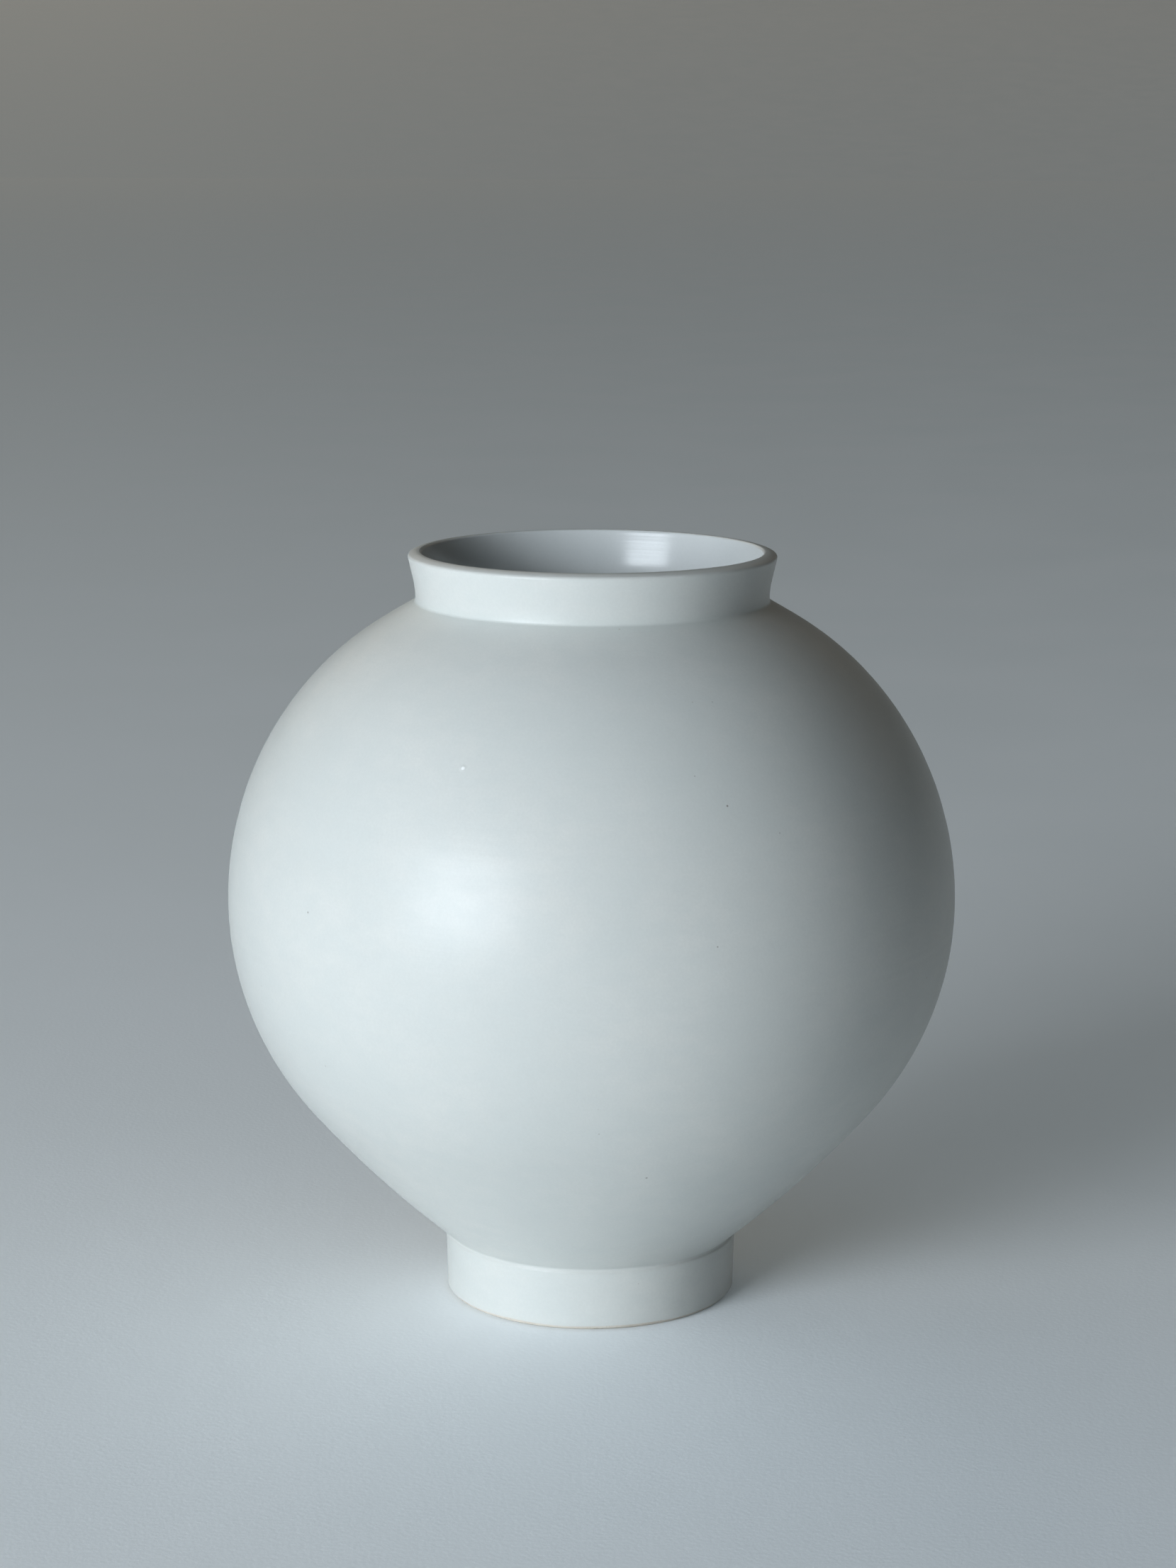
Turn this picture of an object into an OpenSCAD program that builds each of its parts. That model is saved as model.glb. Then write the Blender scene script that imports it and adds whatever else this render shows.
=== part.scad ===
// Moon jar: two thrown bowls joined at the belly, with a flared neck collar and a foot ring.
// Millimetres, +Z up, origin on the table under the middle of the foot.
// Every section is drawn in the plane of radius and height, then turned round the axis.
// Outside sizes are taken over the glaze.

/* [Body] */
// Widest diameter of the body
belly_d = 230; // [212:1:250]
// Height of the widest circle above the table
belly_z = 129; // [122:0.5:138]
// Arc radius of the outside above the belly
shoulder_arc_r = 104.5; // [98:0.5:112]
// Arc radius of the outside below the belly
lower_arc_r = 99.5; // [92:0.5:105]
// Arc radius of the long curve that runs down to the foot
foot_curve_r = 360; // [240:10:700]
// Wall thickness of the two bowls
body_wall = 6.5; // [4.5:0.1:9]
// Height of the inside floor above the table
floor_z = 22; // [20:0.5:28]
// Radius of the round corner between the floor and the wall
floor_round_r = 28; // [15:1:34]

/* [Neck] */
// Neck diameter at its root, where it is narrowest
neck_d = 110.8; // [96:0.2:124]
// Height of the lip above the root
neck_h = 14.4; // [12:0.2:24]
// Radius of the hollow curve up the outside of the neck
neck_curve_r = 25; // [15:1:40]
// Lean of the upper neck away from upright, in degrees
neck_flare = 12.5; // [6:0.5:16]
// Wall thickness of the neck
neck_wall = 4.6; // [3.6:0.1:6]
// Radius of the soft corner between the neck and the shoulder
crease_r = 2; // [1:0.1:4]
// Radius of the rounded inside edge under the neck
throat_r = 2.5; // [1.2:0.1:3.5]
// Slope of the lip's top, falling outwards, in degrees
lip_slope = 15; // [5:1:25]
// Rounding of the lip's outer edge
lip_outer_r = 1; // [0.7:0.1:1.6]
// Rounding of the lip's inner edge
lip_inner_r = 1; // [0.7:0.1:1.6]

/* [Foot] */
// Diameter of the foot ring at its top
foot_d = 93.2; // [84:0.2:104]
// Height of the foot ring
foot_h = 19.3; // [17:0.1:24]
// How much narrower the foot is at the table, on the radius
foot_taper = 0.5; // [0:0.1:2]
// Width of the ledge where the ring stands out past the bowl
foot_ledge = 1; // [0.8:0.1:2]
// Rounding of the foot ring's top edge
foot_edge_r = 0.9; // [0.6:0.1:1.5]
// Wall thickness of the foot ring at the table
foot_wall = 8; // [6:0.2:11]
// Depth of the hollow under the foot
recess_h = 14; // [10:0.5:14.5]
// Rounding of the two edges that meet the table
rim_edge_r = 0.8; // [0.4:0.1:1.2]

/* [Joints] */
// Height of the joint between the two bowls
seam_z = 121.5; // [110:0.5:136]
// Thickness of the slip that joins two pieces
slip_t = 0.4; // [0.2:0.1:1]
// Height of the coil pressed over the belly joint on the inside
coil_h = 16; // [10:1:26]
// How far the coil stands out from the wall
coil_t = 2.5; // [1.5:0.1:4]

/* [Glaze] */
// Thickness of the glaze
glaze_t = 0.5; // [0.3:0.05:0.6]
// Height of bare clay left above the table
bare_h = 1.2; // [0.9:0.1:4]

/* [Hidden] */

// Facets of a drawn circle and of a full turn
$fn = 240;
// Largest turn between two points along a small rounded edge, in degrees
edge_turn = 12;
// Wider than any section
reach = belly_d;
// Curves that touch are drawn this far into each other, so that they cross
overlap = 0.003;

// Centres of the two belly arcs: both lie at the belly's height, so they meet upright there
shoulder_c = [belly_d / 2 - shoulder_arc_r, belly_z];
lower_c = [belly_d / 2 - lower_arc_r, belly_z];

// The foot curve touches the lower arc and passes through the foot's inner corner
foot_join = [foot_d / 2 - foot_ledge, foot_h];
to_foot = foot_join - lower_c;
arc_gap = foot_curve_r - lower_arc_r;
foot_bend = acos((pow(foot_curve_r, 2) - pow(arc_gap, 2) - pow(norm(to_foot), 2))
                 / (2 * arc_gap * norm(to_foot)));
foot_curve_a = atan2(-to_foot[1], to_foot[0]) - foot_bend;
foot_curve_c = lower_c - arc_gap * [cos(foot_curve_a), -sin(foot_curve_a)];

// The crease is a small hollow arc that touches the shoulder and the upright root of the neck
neck_r = neck_d / 2;
crease_c = [neck_r + crease_r,
            belly_z + sqrt(pow(shoulder_arc_r + crease_r, 2)
                           - pow(neck_r + crease_r - shoulder_c[0], 2)) - overlap];
crease_dir = (crease_c - shoulder_c) / norm(crease_c - shoulder_c);
neck_root_z = crease_c[1];
neck_curve_c = [neck_r + neck_curve_r, neck_root_z];
jar_h = neck_root_z + neck_h;

// The collar stands on the upper bowl at the foot of the crease
neck_joint_z = shoulder_c[1] + (shoulder_arc_r - glaze_t) * crease_dir[1] - slip_t;

// The rounded inside edge under the neck lies between the throat and the inside of the shoulder
throat_inner_r = neck_r - neck_wall;
throat_arc_r = shoulder_arc_r - body_wall;
throat_c = [throat_inner_r + throat_r,
            belly_z + sqrt(pow(throat_arc_r + throat_r, 2)
                           - pow(throat_inner_r + throat_r - shoulder_c[0], 2)) - overlap];
throat_dir = (throat_c - shoulder_c) / norm(throat_c - shoulder_c);

// The floor's round corner touches the floor and the inside of the foot curve
floor_c_z = floor_z + floor_round_r;
floor_reach = foot_curve_r - body_wall - floor_round_r;
floor_c = [foot_curve_c[0] + sqrt(pow(floor_reach, 2) - pow(floor_c_z - foot_curve_c[1], 2)), floor_c_z];
floor_dir = (floor_c - foot_curve_c) / floor_reach;

// The foot ring
foot_top_r = foot_d / 2;
foot_base_r = foot_top_r - foot_taper;
recess_r = foot_base_r - foot_wall;

// The coil is a round bead sunk in the wall, so that only a low flat part stands out
seam_inner_r = lower_c[0] + sqrt(pow(lower_arc_r - body_wall + glaze_t, 2) - pow(seam_z - belly_z, 2));
coil_arc_r = (pow(coil_h / 2, 2) + pow(coil_t, 2)) / (2 * coil_t);
coil_c = [seam_inner_r - coil_t + coil_arc_r, seam_z];

// Unit vectors up the neck, out of its side and out of the lip's top
neck_up = [sin(neck_flare), cos(neck_flare)];
neck_out = [cos(neck_flare), -sin(neck_flare)];
lip_out = [sin(lip_slope), cos(lip_slope)];
// Centres of the lip's two rounded edges
lip_inner_z = jar_h - lip_inner_r;
lip_inner_c = [neck_line(neck_wall, lip_inner_z) + lip_inner_r / cos(neck_flare), lip_inner_z];
lip_start = [neck_line(0, neck_curve_top(0)), neck_curve_top(0)] - lip_outer_r * neck_out;
lip_rise = ((lip_inner_c - lip_start) * lip_out + lip_inner_r - lip_outer_r) / (neck_up * lip_out);
lip_outer_c = lip_start + lip_rise * neck_up;
crest_r = lip_inner_c[0];
// The open mouth is cut up to a height clear of the crest
open_z = jar_h + neck_wall;

// Height where the neck's curve turns into its straight side
function neck_curve_top(depth) = neck_root_z + (neck_curve_r + depth) * sin(neck_flare);

// Radius of the neck's straight side at a height, a depth below the glazed outside
function neck_line(depth, z) = neck_curve_c[0] - (neck_curve_r + depth) * cos(neck_flare)
    + (z - neck_curve_top(depth)) * tan(neck_flare) + overlap;

// Radius of the glazed foot ring's tapered side at a height
function foot_side(z) = foot_base_r + foot_taper * z / (foot_h - foot_edge_r);

// Points along an arc, from one angle to another
function arc(centre, radius, a0, a1) =
    let (steps = ceil(abs(a1 - a0) / edge_turn))
    [for (i = [0:steps]) let (a = a0 + (a1 - a0) * i / steps)
        centre + radius * [cos(a), sin(a)]];

// Drawing helpers
module disc(centre, radius) {
    translate(centre) circle(r = radius);
}

module block(r0, r1, z0, z1) {
    polygon([[r0, z0], [r1, z0], [r1, z1], [r0, z1]]);
}

// The part of a disc between two heights
module disc_slice(centre, radius, z0, z1) {
    intersection() {
        disc(centre, radius);
        block(0, reach, z0, z1);
    }
}

module turn() {
    rotate_extrude() children();
}

// Body section at a depth below the glazed outside, filled to the axis, from z0 to z1
module body_fill(depth, z0, z1) {
    bend_z = lower_c[1] - (lower_arc_r - depth) * sin(foot_curve_a);
    intersection() {
        block(0, reach, z0, z1);
        union() {
            disc_slice(foot_curve_c, foot_curve_r - depth - overlap, 0, bend_z);
            disc_slice(lower_c, lower_arc_r - depth, 0, belly_z);
            disc_slice(shoulder_c, shoulder_arc_r - depth, belly_z, jar_h);
        }
    }
}

// The curved part of the neck at a depth below the glazed outside, filled to the axis
module neck_fill(depth) {
    difference() {
        block(0, neck_curve_c[0], neck_root_z, neck_curve_top(depth));
        disc(neck_curve_c, neck_curve_r + depth);
    }
}

// Outside of the straight neck and the lip, up to the crest
module lip_outside(depth) {
    polygon(concat(
        [[0, neck_root_z], [neck_line(depth, neck_root_z), neck_root_z]],
        arc(lip_outer_c, lip_outer_r - depth, -neck_flare, 90 - lip_slope),
        arc(lip_inner_c, lip_inner_r - depth, 90 - lip_slope, 90),
        [[0, jar_h - depth]]));
}

// Inside of the straight neck and the lip, open above the crest
module lip_inside(depth) {
    polygon(concat(
        [[0, neck_root_z], [neck_line(neck_wall - depth, neck_root_z), neck_root_z]],
        arc(lip_inner_c, lip_inner_r - depth, 180 - neck_flare, 90),
        [[crest_r, open_z], [0, open_z]]));
}

// Outside of the jar at a depth below the glaze, filled to the axis, from the foot to the lip
module outside_fill(depth) {
    crease_z = shoulder_c[1] + (shoulder_arc_r - depth) * crease_dir[1];
    foot_fill(depth);
    body_fill(depth, foot_h - depth, neck_root_z);
    difference() {
        block(0, crease_c[0], crease_z, neck_root_z);
        disc(crease_c, crease_r + depth);
    }
    neck_fill(depth);
    lip_outside(depth);
}

// Foot ring at a depth below the glaze, filled to the axis
module foot_fill(depth) {
    edge_c = [foot_top_r - foot_edge_r, foot_h - foot_edge_r];
    polygon(concat(
        [[0, 0], [foot_base_r - depth, 0]],
        arc(edge_c, foot_edge_r - depth, 0, 90),
        [[0, foot_h - depth]]));
}

// Inside of the jar, open at the top, with its surface a depth below the glaze
module cavity_plain(depth) {
    round_z = foot_curve_c[1] + (foot_curve_r - body_wall + depth) * floor_dir[1];
    shoulder_z = shoulder_c[1] + (throat_arc_r + depth) * throat_dir[1];
    block(0, floor_c[0], floor_z - depth, round_z);
    intersection() {
        disc(floor_c, floor_round_r + depth);
        block(floor_c[0], reach, 0, floor_c_z);
    }
    body_fill(body_wall - depth, round_z, throat_c[1]);
    difference() {
        block(0, throat_c[0], shoulder_z, throat_c[1]);
        disc(throat_c, throat_r - depth);
    }
    block(0, throat_inner_r + depth, throat_c[1], neck_root_z);
    neck_fill(neck_wall - depth);
    lip_inside(depth);
}

module cavity(depth) {
    difference() {
        cavity_plain(depth);
        disc(coil_c, coil_arc_r + glaze_t - depth);
    }
}

// Clay of the whole wall
module clay_wall() {
    difference() {
        outside_fill(glaze_t);
        cavity_plain(glaze_t);
    }
}

// Room that the lower bowl and its slip take up over the foot ring
module bowl_seat(gap) {
    body_fill(glaze_t - gap, recess_h - gap, foot_h);
    block(0, recess_r, recess_h - gap, foot_h);
}

// Corner to take off a table edge, beside the point where its rounding starts
module rim_cut(r, quarter) {
    translate([r, rim_edge_r]) rotate(-90 - quarter) difference() {
        square(2 * rim_edge_r);
        circle(r = rim_edge_r);
    }
}

// Sub-parts
module foot_ring() {
    color([0.86, 0.83, 0.77]) turn() difference() {
        foot_fill(glaze_t);
        block(0, recess_r, 0, recess_h);
        bowl_seat(slip_t);
        rim_cut(foot_side(rim_edge_r) - glaze_t - rim_edge_r + overlap, 0);
        rim_cut(recess_r + rim_edge_r, 90);
    }
}

module foot_slip() {
    color([0.80, 0.76, 0.69]) turn() difference() {
        intersection() {
            foot_fill(glaze_t);
            bowl_seat(slip_t);
            block(recess_r, reach, 0, foot_h);
        }
        bowl_seat(0);
    }
}

module lower_bowl() {
    color([0.88, 0.85, 0.79]) turn() difference() {
        union() {
            body_fill(glaze_t, recess_h, seam_z - slip_t / 2);
            block(0, recess_r, recess_h, foot_h);
        }
        cavity_plain(glaze_t);
    }
}

module belly_slip() {
    color([0.80, 0.76, 0.69]) turn() intersection() {
        clay_wall();
        block(0, reach, seam_z - slip_t / 2, seam_z + slip_t / 2);
    }
}

module belly_coil() {
    color([0.84, 0.80, 0.73]) turn() intersection() {
        cavity_plain(glaze_t);
        disc(coil_c, coil_arc_r);
    }
}

module upper_bowl() {
    color([0.88, 0.85, 0.79]) turn() intersection() {
        clay_wall();
        block(0, reach, seam_z + slip_t / 2, neck_joint_z);
    }
}

module neck_slip() {
    color([0.80, 0.76, 0.69]) turn() intersection() {
        clay_wall();
        block(0, reach, neck_joint_z, neck_joint_z + slip_t);
    }
}

module neck_collar() {
    color([0.88, 0.85, 0.79]) turn() intersection() {
        clay_wall();
        block(0, reach, neck_joint_z + slip_t, jar_h);
    }
}

// The two coats meet at the lip's crest
module outer_glaze() {
    color([0.87, 0.88, 0.86]) turn() difference() {
        outside_fill(0);
        outside_fill(glaze_t);
        block(0, reach, 0, bare_h);
        block(0, crest_r, neck_joint_z, open_z);
    }
}

module inner_glaze() {
    color([0.84, 0.85, 0.84]) turn() difference() {
        cavity(glaze_t);
        cavity(0);
    }
}

module recess_glaze() {
    color([0.87, 0.87, 0.84]) turn() difference() {
        block(0, recess_r, bare_h, recess_h);
        block(0, recess_r - glaze_t, 0, recess_h - glaze_t);
    }
}

foot_ring();
foot_slip();
lower_bowl();
belly_slip();
belly_coil();
upper_bowl();
neck_slip();
neck_collar();
outer_glaze();
inner_glaze();
recess_glaze();
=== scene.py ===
"""The jar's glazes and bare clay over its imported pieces. Metres; the sizes below are in mm."""

import math

import bmesh
import bpy
from mathutils import Matrix


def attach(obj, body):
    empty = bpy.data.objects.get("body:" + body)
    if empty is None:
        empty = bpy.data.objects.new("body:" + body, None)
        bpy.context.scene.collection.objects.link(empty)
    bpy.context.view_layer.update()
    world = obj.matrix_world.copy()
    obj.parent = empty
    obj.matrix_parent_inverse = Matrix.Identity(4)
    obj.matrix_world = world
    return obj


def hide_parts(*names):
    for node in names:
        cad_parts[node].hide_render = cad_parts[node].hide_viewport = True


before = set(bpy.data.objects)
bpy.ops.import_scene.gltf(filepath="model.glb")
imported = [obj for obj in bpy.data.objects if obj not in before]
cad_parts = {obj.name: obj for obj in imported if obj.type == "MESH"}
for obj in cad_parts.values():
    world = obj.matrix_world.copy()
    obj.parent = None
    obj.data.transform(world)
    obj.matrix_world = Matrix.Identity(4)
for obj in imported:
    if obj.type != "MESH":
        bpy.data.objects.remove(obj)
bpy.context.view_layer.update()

MM = 0.001

# The jar's sizes, as in the part's source
BELLY_R = 115.0
BELLY_Z = 129.0
SHOULDER_ARC = 104.5
LOWER_ARC = 99.5
FOOT_CURVE = 360.0
WALL = 6.5
FLOOR_Z = 22.0
FLOOR_ROUND = 28.0
NECK_R = 55.4
NECK_H = 14.4
NECK_CURVE = 25.0
NECK_FLARE = math.radians(12.5)
NECK_WALL = 4.6
CREASE = 2.0
THROAT = 2.5
LIP_SLOPE = math.radians(15)
LIP_OUTER = 1.0
LIP_INNER = 1.0
FOOT_R = 46.6
FOOT_H = 19.3
FOOT_TAPER = 0.5
FOOT_LEDGE = 1.0
FOOT_EDGE = 0.9
FOOT_WALL = 8.0
RECESS_H = 14.0
RECESS_POOL = 1.6
SEAM_Z = 121.5
COIL_H = 16.0
COIL_T = 2.5
GLAZE = 0.5
BARE = 1.2

# Half a micrometre more than in the source, which keeps the coats inside the solids' box
OVERLAP = 0.0035

# How the glaze shapes the edges: a tight crease with a slight hollow below it, a filled foot
# corner and a rounded lip
CREASE_GLAZE = 1.1
HOLLOW_DEPTH = 0.32
HOLLOW_REACH = 8.0
FOOT_FILL = 0.9
LIP_TURN = 60

# The soft ridge on the shoulder, and where the outside's points lie closer together
RIDGE_Z = 157.0
RIDGE_REACH = 7.0
JOINT_REACH = 2.6
HOLLOW_FROM_Z = 214.0

# How far apart the points lie: outside at the belly joint, at ridge and hollow and elsewhere,
# inside at the coil and elsewhere, and on the hidden back of a coat
JOINT_STEP = 0.4
RIDGE_STEP = 0.9
OUTSIDE_STEP = 1.5
COIL_STEP = 0.8
INSIDE_STEP = 1.7
BACK_STEP = 5.0

# Points that the long curves are thinned from, and rings on the level faces
BODY_POINTS = 300
WALL_POINTS = 260
FLOOR_RINGS = 16
RECESS_RINGS = 26


# Section of the jar
class Section:
    """Centres and turning points of the curves that the jar's section is made of."""

    def __init__(self):
        self.shoulder = (BELLY_R - SHOULDER_ARC, BELLY_Z)
        self.lower = (BELLY_R - LOWER_ARC, BELLY_Z)
        to_r = FOOT_R - FOOT_LEDGE - self.lower[0]
        to_z = FOOT_H - self.lower[1]
        gap = FOOT_CURVE - LOWER_ARC
        reach = math.hypot(to_r, to_z)
        bend = math.acos((FOOT_CURVE**2 - gap**2 - reach**2) / (2 * gap * reach))
        self.bend_a = math.atan2(-to_z, to_r) - bend
        self.foot = (
            self.lower[0] - gap * math.cos(self.bend_a),
            self.lower[1] + gap * math.sin(self.bend_a),
        )
        self.crease = (
            NECK_R + CREASE,
            BELLY_Z
            + math.sqrt((SHOULDER_ARC + CREASE) ** 2 - (NECK_R + CREASE - self.shoulder[0]) ** 2)
            - OVERLAP,
        )
        self.crease_a = math.atan2(
            self.crease[1] - self.shoulder[1], self.crease[0] - self.shoulder[0]
        )
        self.root_z = self.crease[1]
        self.top = self.root_z + NECK_H
        self.neck = (NECK_R + NECK_CURVE, self.root_z)
        throat_arc = SHOULDER_ARC - WALL
        throat_r = NECK_R - NECK_WALL + THROAT
        self.throat = (
            throat_r,
            BELLY_Z + math.sqrt((throat_arc + THROAT) ** 2 - (throat_r - self.shoulder[0]) ** 2),
        )
        self.throat_a = math.atan2(
            self.throat[1] - self.shoulder[1], self.throat[0] - self.shoulder[0]
        )
        floor_z = FLOOR_Z + FLOOR_ROUND
        floor_reach = FOOT_CURVE - WALL - FLOOR_ROUND
        self.floor = (
            self.foot[0] + math.sqrt(floor_reach**2 - (floor_z - self.foot[1]) ** 2),
            floor_z,
        )
        self.floor_a = math.atan2(self.floor[1] - self.foot[1], self.floor[0] - self.foot[0])
        self.lip_in = (
            self.neck_line(NECK_WALL, self.top - LIP_INNER) + LIP_INNER / math.cos(NECK_FLARE),
            self.top - LIP_INNER,
        )
        out = (math.cos(NECK_FLARE), -math.sin(NECK_FLARE))
        up = (math.sin(NECK_FLARE), math.cos(NECK_FLARE))
        slope = (math.sin(LIP_SLOPE), math.cos(LIP_SLOPE))
        z = self.neck_top(0)
        start = (self.neck_line(0, z) - LIP_OUTER * out[0], z - LIP_OUTER * out[1])
        lift = (self.lip_in[0] - start[0]) * slope[0] + (self.lip_in[1] - start[1]) * slope[1]
        rise = (lift + LIP_INNER - LIP_OUTER) / (up[0] * slope[0] + up[1] * slope[1])
        self.lip_out = (start[0] + rise * up[0], start[1] + rise * up[1])
        inner_arc = LOWER_ARC - WALL + GLAZE
        seam_r = self.lower[0] + math.sqrt(inner_arc**2 - (SEAM_Z - BELLY_Z) ** 2)
        self.coil_arc = ((COIL_H / 2) ** 2 + COIL_T**2) / (2 * COIL_T)
        self.coil = (seam_r - COIL_T + self.coil_arc, SEAM_Z)

    def crease_at(self, radius):
        """Centre of a crease that touches the shoulder and the neck, and its angle there."""
        r = NECK_R + radius
        z = BELLY_Z + math.sqrt((SHOULDER_ARC + radius) ** 2 - (r - self.shoulder[0]) ** 2)
        return (r, z), math.degrees(math.atan2(z - BELLY_Z, r - self.shoulder[0]))

    def foot_fill(self, edge):
        """Centre of the glaze's fillet that touches the foot's rounded edge and the bowl."""
        a, b = FOOT_EDGE + FOOT_FILL, FOOT_CURVE + FOOT_FILL
        dr, dz = edge[0] - self.foot[0], edge[1] - self.foot[1]
        apart = math.hypot(dr, dz)
        turn = math.acos((b**2 + apart**2 - a**2) / (2 * b * apart)) + math.atan2(dz, dr)
        return (self.foot[0] + b * math.cos(turn), self.foot[1] + b * math.sin(turn))

    def neck_top(self, depth):
        return self.root_z + (NECK_CURVE + depth) * math.sin(NECK_FLARE)

    def neck_line(self, depth, z):
        foot_of_line = self.neck[0] - (NECK_CURVE + depth) * math.cos(NECK_FLARE)
        return foot_of_line + (z - self.neck_top(depth)) * math.tan(NECK_FLARE)

    def foot_side(self, z):
        return FOOT_R - FOOT_TAPER + FOOT_TAPER * z / (FOOT_H - FOOT_EDGE)

    def body_r(self, depth, z):
        """Radius of the body's outside at a height, a depth under the glaze's surface."""
        bend_z = self.lower[1] - (LOWER_ARC - depth) * math.sin(self.bend_a)
        if z >= BELLY_Z:
            centre, radius = self.shoulder, SHOULDER_ARC - depth
        elif z >= bend_z:
            centre, radius = self.lower, LOWER_ARC - depth
        else:
            centre, radius = self.foot, FOOT_CURVE - depth
        return centre[0] + math.sqrt(radius**2 - (z - centre[1]) ** 2)


jar = Section()


def arc(centre, radius, start, end, step):
    """Points along an arc, with both its ends, from one angle to another in degrees."""
    count = max(2, math.ceil(abs(math.radians(end - start)) * radius / step))
    turns = [math.radians(start + (end - start) * i / count) for i in range(count + 1)]
    return [(centre[0] + radius * math.cos(t), centre[1] + radius * math.sin(t)) for t in turns]


def thinned(points, spacing):
    """Points of a long curve, as far apart as spacing says for their height."""
    kept = [points[0]]
    for point in points[1:-1]:
        if math.dist(point, kept[-1]) >= spacing(point[1]):
            kept.append(point)
    return kept + [points[-1]]


def body_spacing(z):
    """Closer points at the belly joint, at the ridge and in the hollow below the neck."""
    if abs(z - SEAM_Z) < JOINT_REACH:
        return JOINT_STEP
    if abs(z - RIDGE_Z) < RIDGE_REACH or z > HOLLOW_FROM_Z:
        return RIDGE_STEP
    return OUTSIDE_STEP


def turn_to(start, end):
    """The direction from one point to another, in degrees."""
    return math.degrees(math.atan2(end[1] - start[1], end[0] - start[0]))


def body_side(depth, low, crease_a, spacing):
    """The body's outside from a low point up to its crease with the neck."""
    heights = [low + (BELLY_Z - low) * i / BODY_POINTS for i in range(BODY_POINTS + 1)]
    lower = [(jar.body_r(depth, z), z) for z in heights]
    upper = arc(jar.shoulder, SHOULDER_ARC - depth, 0, crease_a, step=0.3)
    return thinned(lower, spacing)[:-1] + thinned(upper, spacing)[:-1]


def hollowed(point, crease_a):
    """A point of the shoulder, let down into the slight hollow that runs round below the neck."""
    out, up = point[0] - jar.shoulder[0], point[1] - jar.shoulder[1]
    if up < 0:
        return point
    along = (math.radians(crease_a) - math.atan2(up, out)) * SHOULDER_ARC / HOLLOW_REACH
    left = 1 - HOLLOW_DEPTH * along * math.exp(1 - along) / SHOULDER_ARC
    return (jar.shoulder[0] + out * left, jar.shoulder[1] + up * left)


def clay_path():
    """The back of the outer glaze, from the foot to the crest of the lip."""
    edge = (FOOT_R - FOOT_EDGE, FOOT_H - FOOT_EDGE)
    crease_a = math.degrees(jar.crease_a)
    flare = math.degrees(NECK_FLARE)
    slope = 90 - math.degrees(LIP_SLOPE)
    path = [(jar.foot_side(z) - GLAZE, z) for z in (BARE, 6, 12, edge[1] - 0.4)]
    path += arc(edge, FOOT_EDGE - GLAZE, 0, 90, step=0.2)
    path += body_side(GLAZE, FOOT_H - GLAZE, crease_a, lambda z: BACK_STEP)
    path += arc(jar.crease, CREASE + GLAZE, crease_a + 180, 180, step=0.35)[:-1]
    path += arc(jar.neck, NECK_CURVE + GLAZE, 180, 180 - flare, step=0.9)
    path += arc(jar.lip_out, LIP_OUTER - GLAZE, -flare, slope, step=0.22)
    return path + arc(jar.lip_in, LIP_INNER - GLAZE, slope, 90, step=0.12)


def outside_path():
    """The jar's outside from the foot to the crest of the lip."""
    edge = (FOOT_R - FOOT_EDGE, FOOT_H - FOOT_EDGE)
    fill = jar.foot_fill(edge)
    crease, crease_a = jar.crease_at(CREASE_GLAZE)
    flare = math.degrees(NECK_FLARE)
    side_z = [BARE, BARE + 0.4, 3, 6, 9, 12, 15, 17, edge[1] - 0.4]
    path = [(jar.foot_side(z), z) for z in side_z]
    to_fill, to_bowl = turn_to(edge, fill), turn_to(fill, jar.foot) % 360
    path += arc(edge, FOOT_EDGE, 0, to_fill, step=0.2)[:-1]
    path += arc(fill, FOOT_FILL, to_fill + 180, to_bowl, step=0.2)
    body = body_side(0, path[-1][1] + 0.1, crease_a, body_spacing)
    path += [hollowed(point, crease_a) for point in body]

    # The hollow tilts the shoulder where it meets the crease, so the crease turns less
    tilt = math.degrees(HOLLOW_DEPTH * math.e / HOLLOW_REACH)
    path += arc(crease, CREASE_GLAZE, crease_a + 180 - tilt, 180, step=0.2)[:-1]
    path += arc(jar.neck, NECK_CURVE, 180, 180 - flare, step=0.9)
    path += arc(jar.lip_out, LIP_OUTER, -flare, LIP_TURN, step=0.2)[:-1]

    # A wide bow from the lip's outer edge to its crest
    turned = math.sin(math.radians(LIP_TURN))
    bow = (jar.top - jar.lip_out[1] - LIP_OUTER * turned) / (1 - turned)
    middle = jar.lip_out[0] + (LIP_OUTER - bow) * math.cos(math.radians(LIP_TURN))
    return path + arc((middle, jar.top - bow), bow, LIP_TURN, 90, step=0.25)


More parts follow.
